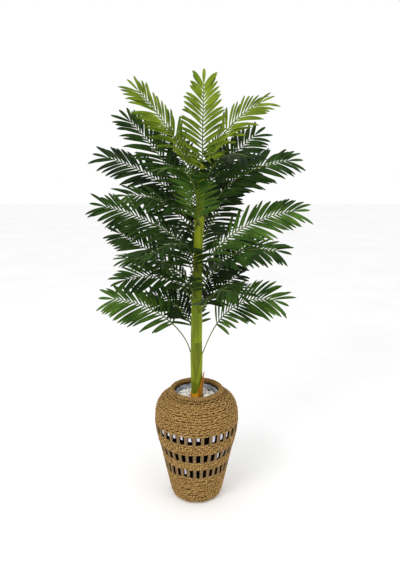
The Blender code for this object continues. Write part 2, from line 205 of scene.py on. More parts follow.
# Torn brown sheath round the trunk's foot
SHEATH_LOW_HEIGHT = 0.027
SHEATH_TONGUE_HEIGHT = 0.112
SHEATH_TONGUE_AZIMUTH = -10
SHEATH_TONGUE_LEAN = 0.007
SHEATH_TONGUE_POWER = 2
SHEATH_TEAR = 0.004
SHEATH_TEAR_SPREAD = (-1, 0.2)
SHEATH_CUFF_TEAR = 0.4
SHEATH_WALL = 0.0016
SHEATH_CLEAR = 0.0006
SHEATH_LEAST_CLEAR = 0.0004
SHEATH_RIPPLE = 0.0005
SHEATH_RIPPLE_TURN = 2.2
SHEATH_COLUMNS = 72
SHEATH_ROWS = 16

# Fronds: ribs and leaflets, by the same rule as the solids with finer leaflets. Angles are in degrees,
# and each spread is what chance adds to one leaflet or multiplies it by
SEAT_GAP = 0.0004
RIB_STEPS = 48
RIB_SIDES = 8
PETIOLE_FOOT_WIDTH = 0.011
PETIOLE_WIDTH = 0.0055
RIB_TIP_WIDTH = 0.0022
RIB_THICKNESS = 0.0042
PETIOLE_FOOT_SHARE = 0.08
RIB_CHANNEL_DEPTH = 0.45
RIB_CHANNEL_FROM = 0.9
LEAFLET_PITCH = 0.0130
LEAFLET_WIDTH = 0.0116
LEAFLET_WIDTH_SPREAD = (0.9, 1.08)
LEAFLET_LEAVES_AT = (60, 33)
LEAFLET_LEAVES_AT_SPREAD = (-5, 5)
LEAFLET_LIFT_SPREAD = (-7, 9)
LEAFLET_SHORTEST = 0.70
LEAFLET_SWELL = (0.15, 0.95)
LEAFLET_LENGTH_SPREAD = (0.92, 1.0)
LEAFLET_DROOP = 0.16
LEAFLET_DROOP_SPREAD = (-0.06, 0.05)
LEAFLET_CURL_SPREAD = (-0.05, 0.08)
LEAFLET_FOLD = 0.34
LEAFLET_INNER_FOLD = 0.42
LEAFLET_ROOT_OFF_RIB = 0.3
LEAFLET_CLEAR_OF_TRUNK = 0.004
LEAFLET_PROBES = (0.4, 0.7, 1.0)
PAIR_STAGGER = 0.25
END_LEAFLET = 0.050
END_LEAFLET_DROOP = 0.05
LONG_BARE_SHARE = 0.3
HIDDEN_FOOT_LEAFED = 0.6
LEAF_GLOSS = 0.12
LEAF_DRIFT = {"scale": 14, "detail": 3}
LEAF_DRIFT_RANGE = (0.34, 0.68)
LEAF_VEINS = {"scale": 5, "detail": 2, "stretch": (9, 0.6, 1)}
LEAF_VEIN_BUMP = (0.5, 0.0012)
# Share of its length and of its full width at each station of a leaflet
LEAFLET_SHAPE = [
    (0.0, 0.30),
    (0.08, 0.50),
    (0.20, 0.72),
    (0.36, 0.90),
    (0.54, 1.0),
    (0.72, 0.96),
    (0.87, 0.72),
    (0.96, 0.38),
    (1.0, 0.06),
]

# Height on the trunk (m), azimuth, slope at foot and tip (degrees), how late it bends, length (m),
# bare share, leaflet length (m), roll and sideways swing (degrees), as in the solids
Frond = namedtuple("Frond", "height azimuth rise fall bend length bare leaf roll swing")
FROND_ROWS = {
    "frond_top_centre": (1.170, 80, 88, 80, 1.0, 0.325, 0.22, 0.108, 0, 0),
    "frond_top_left": (1.165, 185, 68, 46, 1.0, 0.355, 0.20, 0.118, -45, 0),
    "frond_top_right": (1.185, -5, 80, 26, 1.0, 0.310, 0.20, 0.118, 40, 0),
    "frond_left_1": (1.070, 174, 62, 46, 1.0, 0.375, 0.20, 0.112, -50, 0),
    "frond_right_1": (1.130, 25, 56, 35, 1.0, 0.280, 0.25, 0.105, 50, 0),
    "frond_front_right_1": (1.145, -50, 75, -20, 1.0, 0.260, 0.25, 0.105, 20, 0),
    "frond_front_1": (1.025, -98, 76, -10, 1.5, 0.320, 0.14, 0.105, -5, -58),
    "frond_left_2": (1.050, 182, 58, 16, 0.8, 0.360, 0.20, 0.112, -50, 0),
    "frond_front_left_2": (1.010, 212, 70, 0, 0.6, 0.295, 0.22, 0.100, -40, 0),
    "frond_right_2": (1.045, 4, 68, 4, 0.9, 0.365, 0.20, 0.112, 50, 0),
    "frond_back_right_2": (0.960, 48, 54, 40, 1.0, 0.220, 0.25, 0.105, 50, 0),
    "frond_left_3": (0.915, 187, 64, 14, 0.5, 0.355, 0.20, 0.118, -50, 0),
    "frond_front_3": (0.865, -108, 74, -35, 1.0, 0.310, 0.14, 0.100, -5, -50),
    "frond_right_3": (0.865, -3, 68, 6, 0.8, 0.395, 0.20, 0.118, 50, 0),
    "frond_back_right_1": (1.030, 36, 62, 24, 0.9, 0.290, 0.25, 0.105, 40, 0),
    "frond_back_right_3": (0.795, 30, 54, 18, 0.8, 0.270, 0.25, 0.095, 50, 0),
    "frond_left_4": (0.790, 172, 60, 27, 0.5, 0.330, 0.22, 0.105, -50, 0),
    "frond_front_left_4": (0.765, -120, 74, 0, 0.8, 0.345, 0.16, 0.105, -20, -55),
    "frond_left_5": (0.755, 202, 76, -16, 0.7, 0.285, 0.24, 0.102, -40, 0),
    "frond_right_4": (0.825, -22, 68, -8, 0.8, 0.315, 0.22, 0.105, 40, 0),
    "frond_right_5": (0.720, 35, 44, 22, 1.0, 0.200, 0.25, 0.088, 50, 0),
    "frond_right_6": (0.560, -16, 70, -15, 1.8, 0.370, 0.34, 0.125, 45, 0),
    "frond_front_right_5": (0.715, -52, 62, -15, 1.2, 0.250, 0.25, 0.112, 20, 0),
    "frond_left_6": (0.565, 183, 80, 6, 0.7, 0.360, 0.34, 0.115, -50, 0),
    "frond_back_left_5": (0.660, 150, 60, 0, 1.0, 0.200, 0.25, 0.085, -50, 0),
    "frond_back_left_2": (0.980, 150, 58, 20, 1.0, 0.220, 0.25, 0.090, -50, 0),
    "frond_back_6": (0.600, 108, 68, -5, 0.8, 0.340, 0.26, 0.110, -20, 0),
    "frond_back_5": (0.680, 72, 66, 0, 0.8, 0.340, 0.26, 0.110, 20, 0),
    "frond_back_4": (0.830, 124, 64, 4, 0.8, 0.340, 0.22, 0.110, -25, 0),
    "frond_back_3": (0.880, 84, 66, 6, 0.8, 0.340, 0.22, 0.110, 10, 0),
    "frond_back_2": (1.000, 106, 66, 8, 0.8, 0.330, 0.22, 0.110, -15, 0),
    "frond_back_1": (1.080, 68, 68, 20, 0.8, 0.310, 0.22, 0.105, 20, 0),
    "frond_back_top": (1.120, 132, 70, 30, 0.8, 0.300, 0.22, 0.105, -20, 0),
}
FRONDS = {name: Frond(*row) for name, row in FROND_ROWS.items()}
# Tone of each frond's leaves; the others are of the middle tone. The young tone is the young fronds' own
# yellower green.
# Of the leaf's other copies, the darker one is painted shade on fronds that lie at the back and behind
# others, and the lighter one is partly the leaves' own varied tone and partly painted sheen
TONES = {
    "young": ("frond_top_centre", "frond_top_left", "frond_top_right"),
    "light": ("frond_left_6", "frond_right_6", "frond_right_3", "frond_front_1", "frond_back_6"),
    "shaded": (
        "frond_left_2",
        "frond_back_right_2",
        "frond_back_left_2",
        "frond_right_5",
        "frond_back_left_5",
        "frond_back_right_1",
        "frond_back_right_3",
        "frond_back_2",
        "frond_front_right_1",
    ),
}

# Studio: the floor's reach, and each light's place, size (m) and power (W)
FLOOR_REACH = 14
WORLD_STRENGTH = 1.0
LIGHTS = {"key": ((-1.6, -2.2, 2.6), 1.6, 42), "fill": ((2.2, -1.6, 1.6), 1.8, 12)}
LIGHTS_LOOK_AT = (0, 0, 0.8)

# Seeds of the random draws
ROPE_SEED = 11
PLASTIC_SEED = 5
RIM_SEED = 8
PEBBLE_SEED = 21
FIBRE_SEED = 2
SHEATH_SEED = 3
LEAFLET_SEED = 17

# Detail of a surface's two noises, and the colour sockets of a Mix node
COARSE_DETAIL = 5
FINE_DETAIL = 4
MIX_FIRST = 6
MIX_SECOND = 7
MIX_RESULT = 2


def polar(radius, azimuth, z):
    return Vector((radius * math.cos(azimuth), radius * math.sin(azimuth), z))


def between(rows, x):
    """Straight-line reading of (x, y) rows."""
    for (x0, y0), (x1, y1) in zip(rows, rows[1:]):
        if x <= x1:
            return y0 + (y1 - y0) * max(0, x - x0) / (x1 - x0)
    return rows[-1][1]


def colour(red, green, blue):
    """Linear RGBA of an sRGB colour given in 0 to 255."""
    return (*(((c / 255 + 0.055) / 1.055) ** 2.4 for c in (red, green, blue)), 1)


# Materials


def link_noise(tree, coordinates, scale, detail, stretch=(1, 1, 1)):
    """A noise texture on stretched coordinates; returns its factor output."""
    mapping = tree.nodes.new("ShaderNodeMapping")
    mapping.inputs["Scale"].default_value = stretch
    noise = tree.nodes.new("ShaderNodeTexNoise")
    noise.inputs["Scale"].default_value = scale
    noise.inputs["Detail"].default_value = detail
    tree.links.new(coordinates, mapping.inputs["Vector"])
    tree.links.new(mapping.outputs["Vector"], noise.inputs["Vector"])
    return noise.outputs["Fac"]


def link_ramp(tree, factor, stops):
    """A colour ramp of (position, colour) stops on a factor."""
    ramp = tree.nodes.new("ShaderNodeValToRGB")
    elements = ramp.color_ramp.elements
    while len(elements) < len(stops):
        elements.new(0.5)
    for element, (position, tint) in zip(elements, stops):
        element.position = position
        element.color = tint
    tree.links.new(factor, ramp.inputs["Fac"])
    return ramp.outputs["Color"]


def link_bump(tree, height, strength, distance):
    bump = tree.nodes.new("ShaderNodeBump")
    bump.inputs["Strength"].default_value = strength
    bump.inputs["Distance"].default_value = distance
    tree.links.new(height, bump.inputs["Height"])
    tree.links.new(bump.outputs["Normal"], shader_of(tree).inputs["Normal"])


def link_roughness(tree, factor, low, high):
    spread = tree.nodes.new("ShaderNodeMapRange")
    spread.inputs["To Min"].default_value = low
    spread.inputs["To Max"].default_value = high
    tree.links.new(factor, spread.inputs["Value"])
    tree.links.new(spread.outputs["Result"], shader_of(tree).inputs["Roughness"])


def shader_of(tree):
    return tree.nodes["Principled BSDF"]


def surface(name, stops, roughness, coarse, fine, bump, stretch=(1, 1, 1), by_uv=False, gloss=0.2):
    """A material of two noises: the coarse one spreads the colours, the fine one is the bump."""
    material = bpy.data.materials.new(name)
    material.use_nodes = True
    tree = material.node_tree
    where = tree.nodes.new("ShaderNodeTexCoord").outputs["UV" if by_uv else "Object"]
    spread = link_noise(tree, where, coarse, COARSE_DETAIL, stretch)
    grain = link_noise(tree, where, fine, FINE_DETAIL, stretch)
    tree.links.new(link_ramp(tree, spread, stops), shader_of(tree).inputs["Base Color"])
    link_roughness(tree, grain, *roughness)
    link_bump(tree, grain, *bump)
    shader_of(tree).inputs["Specular IOR Level"].default_value = gloss
    return material


def paint_groove_shade(material, groove):
    """Paints shade into a material's colour where the lit-share layer is low, as in the grooves between
    strands.
    """
    tree = material.node_tree
    plain = shader_of(tree).inputs["Base Color"].links[0].from_socket
    layer = tree.nodes.new("ShaderNodeUVMap")
    layer.uv_map = "relief"
    split = tree.nodes.new("ShaderNodeSeparateXYZ")
    tree.links.new(layer.outputs["UV"], split.inputs["Vector"])
    low, high = GROOVE_RANGE
    painted_shade = link_ramp(tree, split.outputs["X"], [(low, groove), (high, (1, 1, 1, 1))])
    shade = tree.nodes.new("ShaderNodeMix")
    shade.data_type = "RGBA"
    shade.blend_type = "MULTIPLY"
    shade.inputs["Factor"].default_value = 1
    tree.links.new(plain, shade.inputs[MIX_FIRST])
    tree.links.new(painted_shade, shade.inputs[MIX_SECOND])
    tree.links.new(shade.outputs[MIX_RESULT], shader_of(tree).inputs["Base Color"])
    return material


def rope_material(name, dark, middle, light):
    """Seagrass: darker and golden fibres along each strand, and shade painted into the grooves between
    strands.
    """
    stops = [(0.41, dark), (0.50, middle), (0.59, light)]
    fibres = surface(
        name,
        stops,
        roughness=(0.7, 0.95),
        coarse=2.4,
        fine=8,
        bump=(0.7, 0.0016),
        stretch=(1, 5, 1),
        by_uv=True,
        gloss=0.1,
    )
    return paint_groove_shade(fibres, PAINTED_GROOVE_SHADE)


def leaf_material(name, dark, light, shine):
    """A moulded leaf: fine veins along it, and a tone that drifts over the frond."""
    material = bpy.data.materials.new(name)
    material.use_nodes = True
    tree = material.node_tree
    places = tree.nodes.new("ShaderNodeTexCoord")
    drift = link_noise(tree, places.outputs["Object"], **LEAF_DRIFT)
    veins = link_noise(tree, places.outputs["UV"], **LEAF_VEINS)
    stops = list(zip(LEAF_DRIFT_RANGE, (dark, light)))
    tree.links.new(link_ramp(tree, drift, stops), shader_of(tree).inputs["Base Color"])
    link_roughness(tree, veins, *shine)
    shader_of(tree).inputs["Specular IOR Level"].default_value = LEAF_GLOSS
    link_bump(tree, veins, *LEAF_VEIN_BUMP)
    return material


def make_materials():
    """Every material by the name that the pieces ask for. Colours are those the photograph shows."""
    return {
        # The three seagrass materials carry shade painted into their grooves
        "rope": rope_material("seagrass", colour(76, 52, 20), colour(140, 106, 56), colour(206, 170, 108)),
        "stake": rope_material("stake", colour(74, 56, 34), colour(122, 98, 66), colour(170, 144, 104)),
        "rim": rope_material("rim", colour(84, 58, 24), colour(142, 108, 58), colour(204, 168, 108)),
        # Near-black and without gloss: painted shade for the dark inside of the basket behind the windows
        "shade_sheet": surface(
            "shade_sheet",
            [(0.3, colour(3, 3, 3)), (0.7, colour(12, 10, 9))],
            roughness=(0.7, 0.9),
            coarse=40,
            fine=300,
            bump=(0.4, 0.0006),
            gloss=0,
        ),
        "plastic": surface(
            "pale plastic",
            [(0.3, colour(176, 172, 192)), (0.7, colour(232, 230, 240))],
            roughness=(0.2, 0.4),
            coarse=60,
            fine=220,
            bump=(0.5, 0.001),
        ),
        "collar": surface(
            "grey plastic",
            [(0.32, colour(90, 94, 102)), (0.45, colour(158, 163, 175)), (0.7, colour(190, 195, 206))],
            roughness=(0.3, 0.5),
            coarse=70,
            fine=400,
            bump=(0.3, 0.0004),
        ),
        "pot": surface(
            "black plastic",
            [(0.3, colour(14, 14, 15)), (0.7, colour(30, 30, 32))],
            roughness=(0.35, 0.5),
            coarse=30,
            fine=500,
            bump=(0.2, 0.0003),
        ),
        "cement": surface(
            "cement",
            [(0.3, colour(120, 116, 110)), (0.7, colour(160, 156, 150))],
            roughness=(0.8, 0.95),
            coarse=60,
            fine=400,
            bump=(0.5, 0.0008),
        ),
        "pebbles": surface(
            "white pebbles",
            [(0.30, colour(180, 172, 156)), (0.45, colour(230, 227, 219)), (0.7, colour(250, 249, 246))],
            roughness=(0.5, 0.75),
            coarse=90,
            fine=700,
            bump=(0.35, 0.0004),
        ),
        "trunk": surface(
            "green trunk",
            [(0.36, colour(78, 90, 6)), (0.5, colour(112, 122, 10)), (0.64, colour(142, 146, 26))],
            roughness=(0.4, 0.6),
            coarse=26,
            fine=110,
            bump=(0.5, 0.0008),
            stretch=(1, 1, 0.06),
        ),
        # Sheaths darken towards their edges: shade painted where they meet the trunk
        "leaf_sheath": paint_groove_shade(
            surface(
                "leaf sheath",
                [(0.36, colour(90, 106, 8)), (0.5, colour(126, 138, 16)), (0.64, colour(156, 160, 36))],
                roughness=(0.4, 0.6),
                coarse=30,
                fine=130,
                bump=(0.5, 0.0008),
                stretch=(1, 1, 0.06),
            ),
            SHEATH_EDGE_PAINTED_SHADE,
        ),
        "sheath": surface(
            "brown sheath",
            [(0.38, colour(134, 84, 6)), (0.5, colour(196, 132, 12)), (0.62, colour(220, 160, 36))],
            roughness=(0.6, 0.85),
            coarse=50,
            fine=240,
            bump=(0.7, 0.001),
            stretch=(1, 1, 0.08),
        ),
        "rib": surface(
            "rib",
            [(0.3, colour(52, 66, 22)), (0.5, colour(84, 100, 34)), (0.7, colour(112, 124, 50))],
            roughness=(0.4, 0.6),
            coarse=30,
            fine=200,
            bump=(0.4, 0.0005),
        ),
        "young": leaf_material("young leaf", colour(68, 94, 8), colour(118, 138, 30), (0.42, 0.6)),
        # A lighter copy of the middle leaf: partly the leaves' own varied tone, partly painted sheen
        "light": leaf_material("light leaf", colour(32, 60, 12), colour(76, 108, 34), (0.45, 0.6)),
        "middle": leaf_material("middle leaf", colour(22, 44, 10), colour(52, 80, 24), (0.45, 0.6)),
        # A darker copy of the middle leaf: painted shade
        "shaded": leaf_material("deep leaf", colour(14, 28, 8), colour(36, 56, 18), (0.45, 0.6)),
    }


# Meshes


class Build:
    """Points, faces, UVs and lit shares of one piece while it is put together; a lit share below 1 paints
    shade.
    """

    def __init__(self):
        self.points, self.faces, self.uvs, self.lit_shares = [], [], [], []

    def grid(self, rows, uvs, lit_shares=None, closed=False):
        """Quads between rows of points of the same count; closed joins the two ends of each row.

        The lit share is 0 where shade is painted in a groove and 1 on a crest.
        """
        start, width = len(self.points), len(rows[0])
        for j, (row, uv_row) in enumerate(zip(rows, uvs)):
            self.points += row
            self.uvs += uv_row
            self.lit_shares += lit_shares[j] if lit_shares else [1] * width
        for j in range(len(rows) - 1):
            for i in range(width if closed else width - 1):
                a = start + j * width
                b = a + width
                self.faces.append((a + i, a + (i + 1) % width, b + (i + 1) % width, b + i))

    def piece(self, name, material):
        """An object of the mesh that rides the body, with a UV layer along it and one for its lit shares,
        the mask of painted shade.
        """
        mesh = bpy.data.meshes.new(name)
        mesh.from_pydata(self.points, [], self.faces)
        corners = np.zeros(len(mesh.loops), dtype=np.int64)
        mesh.loops.foreach_get("vertex_index", corners)
        lit_shares = [(relief, 0.5) for relief in self.lit_shares]
        for layer_name, values in (("along", self.uvs), ("relief", lit_shares)):
            layer = mesh.uv_layers.new(name=layer_name)
            layer.data.foreach_set("uv", np.array(values, dtype=np.float32)[corners].ravel())
        mesh.shade_smooth()
        mesh.materials.append(material)
        piece = bpy.data.objects.new(name, mesh)
        bpy.context.collection.objects.link(piece)
        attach(piece, "root")
        return piece


# Basket


def profile_at(z):
    """Radius of the basket and its outward normal (radial, upward) at a height."""
    for (r0, z0), (r1, z1) in zip(BASKET_PROFILE, BASKET_PROFILE[1:]):
        if z <= z1:
            share = (z - z0) / (z1 - z0)
            length = math.hypot(r1 - r0, z1 - z0)
            return r0 + (r1 - r0) * share, ((z1 - z0) / length, -(r1 - r0) / length)
    return BASKET_PROFILE[-1][0], (0, 1)


def sector(number):
    """Azimuth of the middle of a sector; the even ones hold windows and the odd ones stakes."""
    return math.tau * (number + 0.5) / (2 * WINDOW_COUNT)


def band_rows(low, high):
    """Heights of the rope rows that fill a band, evenly along the profile."""
    samples = [low + (high - low) * i / BAND_SAMPLES for i in range(BAND_SAMPLES + 1)]
    lengths = [0]
    for z0, z1 in zip(samples, samples[1:]):
        lengths.append(lengths[-1] + math.hypot(z1 - z0, profile_at(z1)[0] - profile_at(z0)[0]))
    count = max(1, round(lengths[-1] / ROPE_PITCH))
    return [float(np.interp(lengths[-1] * (i + 0.5) / count, lengths, samples)) for i in range(count)]


def add_rope(build, radius, z, normal, wobble, rng):
    """One closed row of two-strand rope whose outer side lies on the profile."""
    steps = round(math.tau * radius / ROPE_STEP)
    phase, waves = rng.uniform(0, math.tau), rng.randint(*WOBBLE_WAVES)
    turns = round(math.tau * radius / ROPE_TWIST)
    opened = math.radians(ROPE_OPEN_ANGLE)
    rows, uvs, lit_shares = [], [], []
    for step in range(steps + 1):
        azimuth = math.tau * step / steps
        shift = wobble * math.sin(waves * azimuth + phase)
        twist = turns * azimuth + phase
        row, uv_row, lit_share_row = [], [], []
        for i in range(ROPE_POINTS):
            angle = -opened + 2 * opened * i / (ROPE_POINTS - 1)
            lobe = abs(math.cos(angle - twist / 2))
            reach = ROPE_RADIUS * (1 - ROPE_LOBE + ROPE_LOBE * lobe)
            out = reach * math.cos(angle) - ROPE_RADIUS
            along = reach * math.sin(angle) + shift
            r = radius + out * normal[0] - along * normal[1]
            height = z + out * normal[1] + along * normal[0]
            row.append(polar(r, azimuth, max(height, 0)))
            uv_row.append((azimuth * radius / ROPE_TWIST * 2, angle / math.tau + twist / math.tau / 2))
            # Painted shade: darker in the groove between strand lobes and on the sides that turn towards
            # the neighbouring rows
            lit_share_row.append(min(1, ROPE_GROOVE_LIT_SHARE + lobe) * max(0, math.cos(angle * ROPE_SIDE_SHADE)))
        rows.append(row)
        uvs.append(uv_row)
        lit_shares.append(lit_share_row)
    build.grid(rows, uvs, lit_shares)


def basket_ropes(materials):
    """Rope rows in each band, under the foot and round the neck. The lowest band is woven more loosely."""
    rng = random.Random(ROPE_SEED)
    for name, bands in (("basket_lower", ROPE_BANDS[:3]), ("basket_belly", ROPE_BANDS[3:])):
        build = Build()
        for band in bands:
            loose = LOOSE_WOBBLE if band is ROPE_BANDS[0] else ROPE_WOBBLE
            for z in band_rows(*band):
                radius, normal = profile_at(z)
                add_rope(build, radius, z, normal, loose * rng.uniform(*WOBBLE_SPREAD), rng)
        if bands[-1] is ROPE_BANDS[-1]:
            add_rope(build, NECK_RADIUS, BASKET_HEIGHT + ROPE_RADIUS / 2, (0, 1), 0, rng)
        if bands[0] is ROPE_BANDS[0]:
            foot = BASKET_PROFILE[0][0]
            for i in range(UNDERSIDE_RINGS):
                radius = foot * (i + UNDERSIDE_FIRST_RING) / UNDERSIDE_RINGS
                add_rope(build, radius, UNDERSIDE_Z, (0, -1), 0, rng)
        piece = build.piece(name, materials["rope"])
        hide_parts("basket")


def basket_stakes(materials):
    """Wrapped bundles between the windows."""
    build = Build()
    for low, high in WINDOW_ROWS:
        bottom, top = low - STAKE_OVERLAP, high + STAKE_OVERLAP
        wraps = (top - bottom) / STAKE_WRAP
        for stake in range(WINDOW_COUNT):
            azimuth = sector(2 * stake + 1)
            rows, uvs, lit_shares = [], [], []
            for j in range(STAKE_STEPS + 1):
                z = bottom + (top - bottom) * j / STAKE_STEPS
                radius = profile_at(z)[0]
                crest = abs(math.sin(math.pi * wraps * j / STAKE_STEPS + stake))
                swell = 1 - STAKE_SWELL + STAKE_SWELL * crest
                centre = polar(radius - STAKE_HALF_DEPTH - STAKE_INSET, azimuth, z)
                row, uv_row = [], []
                for i in range(STAKE_SIDES):
                    angle = math.tau * i / STAKE_SIDES
                    out = STAKE_HALF_DEPTH * swell * math.cos(angle)
                    across = STAKE_HALF_WIDTH * swell * math.sin(angle)
                    offset = polar(out, azimuth, 0) + polar(across, azimuth + math.pi / 2, 0)
                    row.append(centre + offset)
                    uv_row.append((i / STAKE_SIDES * STAKE_GRAIN, z / STAKE_WRAP + stake))
                rows.append(row)
                uvs.append(uv_row)
                # Shade painted between the wraps
                lit_shares.append([STAKE_GROOVE_LIT_SHARE + (1 - STAKE_GROOVE_LIT_SHARE) * crest] * STAKE_SIDES)
            build.grid(rows, uvs, lit_shares, closed=True)
    piece = build.piece("basket_stakes", materials["stake"])
    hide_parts("basket")


def basket_shade_sheet(materials):
    """A near-black sheet just inside the shell: painted shade for the dark inside of the basket behind the
    windows.
    """
    build = Build()
    rows, uvs = [], []
    for radius, z in BASKET_PROFILE[1:]:
        normal = profile_at(z)[1]
        inner = radius - SHADE_SHEET_INSET * max(normal[0], SHADE_SHEET_LEAST_INSET)
        height = z - SHADE_SHEET_INSET * max(normal[1], 0)
        rows.append([polar(inner, math.tau * i / SHADE_SHEET_STEPS, height) for i in range(SHADE_SHEET_STEPS)])
        uvs.append([(i / SHADE_SHEET_STEPS, z) for i in range(SHADE_SHEET_STEPS)])
    build.grid(rows, uvs, closed=True)
    piece = build.piece("basket_shade_sheet", materials["shade_sheet"])
    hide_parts("basket")


def window_plastic(materials):
    """Crumpled pale plastic that shows in the windows: in nearly all of the top row, in few below."""
    rng = random.Random(PLASTIC_SEED)
    build = Build()
    for (low, high), share in zip(WINDOW_ROWS, PLASTIC_SHARES):
        for window in range(WINDOW_COUNT):
            if rng.random() > share:
                continue
            reach = math.tau / WINDOW_COUNT * rng.uniform(*PLASTIC_WIDTH)
            start = sector(2 * window) + rng.uniform(*PLASTIC_SHIFT) * reach - reach / 2
            bottom = low + (high - low) * rng.uniform(*PLASTIC_LOWER_EDGE)
            rows, uvs = [], []
            for j in range(PLASTIC_ROWS + 1):
                z = bottom + (high + PLASTIC_OVERLAP - bottom) * j / PLASTIC_ROWS
                row, uv_row = [], []
                for i in range(PLASTIC_COLUMNS + 1):
                    skew = rng.uniform(*PLASTIC_SKEW) * reach
                    radius = profile_at(z)[0] - PLASTIC_INSET - rng.uniform(0, PLASTIC_CRUMPLE)
                    row.append(polar(radius, start + reach * i / PLASTIC_COLUMNS + skew, z))
                    uv_row.append((i, j))
                rows.append(row)
                uvs.append(uv_row)
            build.grid(rows, uvs)
    piece = build.piece("window_plastic", materials["plastic"])


def basket_rim(materials):
    """The rolled rim, wrapped all round with strands that lie a little aslant."""
    build = Build()
    steps = RIM_WRAPS * RIM_STEPS_PER_WRAP
    rng = random.Random(RIM_SEED)
    lifts = [rng.uniform(0.0, RIM_LIFT) for wrap in range(RIM_WRAPS)]
    rows, uvs, lit_shares = [], [], []
    for step in range(steps + 1):
        azimuth = math.tau * step / steps
        row, uv_row, lit_share_row = [], [], []
        for i in range(RIM_SIDES):
            angle = math.tau * i / RIM_SIDES
            place = step / RIM_STEPS_PER_WRAP + angle / math.tau
            lift = lifts[int(place) % RIM_WRAPS]
            crest = abs(math.sin(math.pi * place))
            groove = RIM_GROOVE * (1 - crest) + lift
            # Shade painted into the grooves between wraps; each wrap is also darker the deeper its random
            # lift sinks it
            tone = RIM_GROOVE_LIT_SHARE + (1 - RIM_GROOVE_LIT_SHARE) * crest
            lit_share_row.append(tone * (1 - RIM_TONE_SPREAD * lift / RIM_LIFT))
            radius = RIM_RADIUS + (RIM_HALF_WIDTH - groove) * math.cos(angle)
            height = RIM_CENTRE_Z + (RIM_HALF_HEIGHT - groove) * math.sin(angle)
            row.append(polar(radius, azimuth, height))
            uv_row.append((angle * RIM_GRAIN[0], place * RIM_GRAIN[1]))
        rows.append(row)
        uvs.append(uv_row)
        lit_shares.append(lit_share_row)
    build.grid(rows, uvs, lit_shares, closed=True)
    piece = build.piece("basket_rim_rope", materials["rim"])
    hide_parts("basket_rim")


def pebbles(materials):
    """White pebbles, each an uneven flattened stone, scattered through the top of the bed."""
    rng = random.Random(PEBBLE_SEED)
    bm = bmesh.new()
    low, high = PEBBLE_RING
    for count in range(PEBBLE_COUNT):
        size = rng.uniform(*PEBBLE_SIZES)
        distance = math.sqrt(rng.uniform((low + size) ** 2, (high - size) ** 2))
        centre = polar(distance, rng.uniform(0, math.tau), PEBBLE_LEVEL - rng.uniform(0, PEBBLE_DEPTH))
        turned = Matrix.Rotation(rng.uniform(0, math.tau), 3, "Z")
        turn = turned @ Matrix.Rotation(rng.uniform(*PEBBLE_TILT), 3, "X")
        stretch = [rng.uniform(*spread) for spread in PEBBLE_STRETCH]
        made = bmesh.ops.create_icosphere(bm, subdivisions=PEBBLE_SUBDIVISIONS, radius=size)["verts"]
        for vert in made:
            shaped = Vector(c * s for c, s in zip(vert.co, stretch)) * rng.uniform(*PEBBLE_UNEVEN)
            vert.co = turn @ shaped + centre
    mesh = bpy.data.meshes.new("pebble_stones")
    bm.to_mesh(mesh)
    bm.free()
    mesh.shade_smooth()
    mesh.materials.append(materials["pebbles"])
    piece = bpy.data.objects.new("pebble_stones", mesh)
    bpy.context.collection.objects.link(piece)
    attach(piece, "root")
    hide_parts("pebbles")


# Trunk


def trunk_axis(z):
    share = (z - TRUNK_FOOT) / (TRUNK_TOP - TRUNK_FOOT)
    return Vector((TRUNK_LEAN * max(0, share) ** TRUNK_LEAN_POWER, 0, z))


def trunk_skin(z, azimuth):
    """How far the solid's flat-sided trunk reaches from its axis in one direction."""
    side = math.tau / TRUNK_SIDES
    return between(TRUNK_PROFILE, z) * math.cos(side / 2) / math.cos(azimuth % side - side / 2)


def on_trunk(z, azimuth, off):
    """A point at a height and azimuth, standing off the trunk's skin."""
    return trunk_axis(z) + polar(between(TRUNK_PROFILE, z) + off, azimuth, 0)


def trunk(materials):
    """The trunk's skin with fine fibres along it."""
    rng = random.Random(FIBRE_SEED)
    fibres = [rng.uniform(-1, 0) for side in range(SKIN_SIDES)]
    steps = round((TRUNK_TOP - TRUNK_FOOT) / SKIN_STEP)
    build = Build()
    rows, uvs = [], []
    for step in range(steps + 1):
        z = TRUNK_FOOT + (TRUNK_TOP - TRUNK_FOOT) * step / steps
        row, uv_row = [], []
        for side in range(SKIN_SIDES):
            wave = SKIN_WAVE * math.sin(SKIN_WAVES_PER_METRE * z * math.tau + side)
            drift = fibres[side] * (1 + wave)
            row.append(on_trunk(z, math.tau * side / SKIN_SIDES, SKIN_FIBRE * drift))
            uv_row.append((side / SKIN_SIDES, z))
        rows.append(row)
        uvs.append(uv_row)
    build.grid(rows, uvs, closed=True)
    top = len(build.points) - SKIN_SIDES
    build.faces.append(tuple(range(top, top + SKIN_SIDES)))
    piece = build.piece("trunk_skin", materials["trunk"])
    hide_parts("trunk")


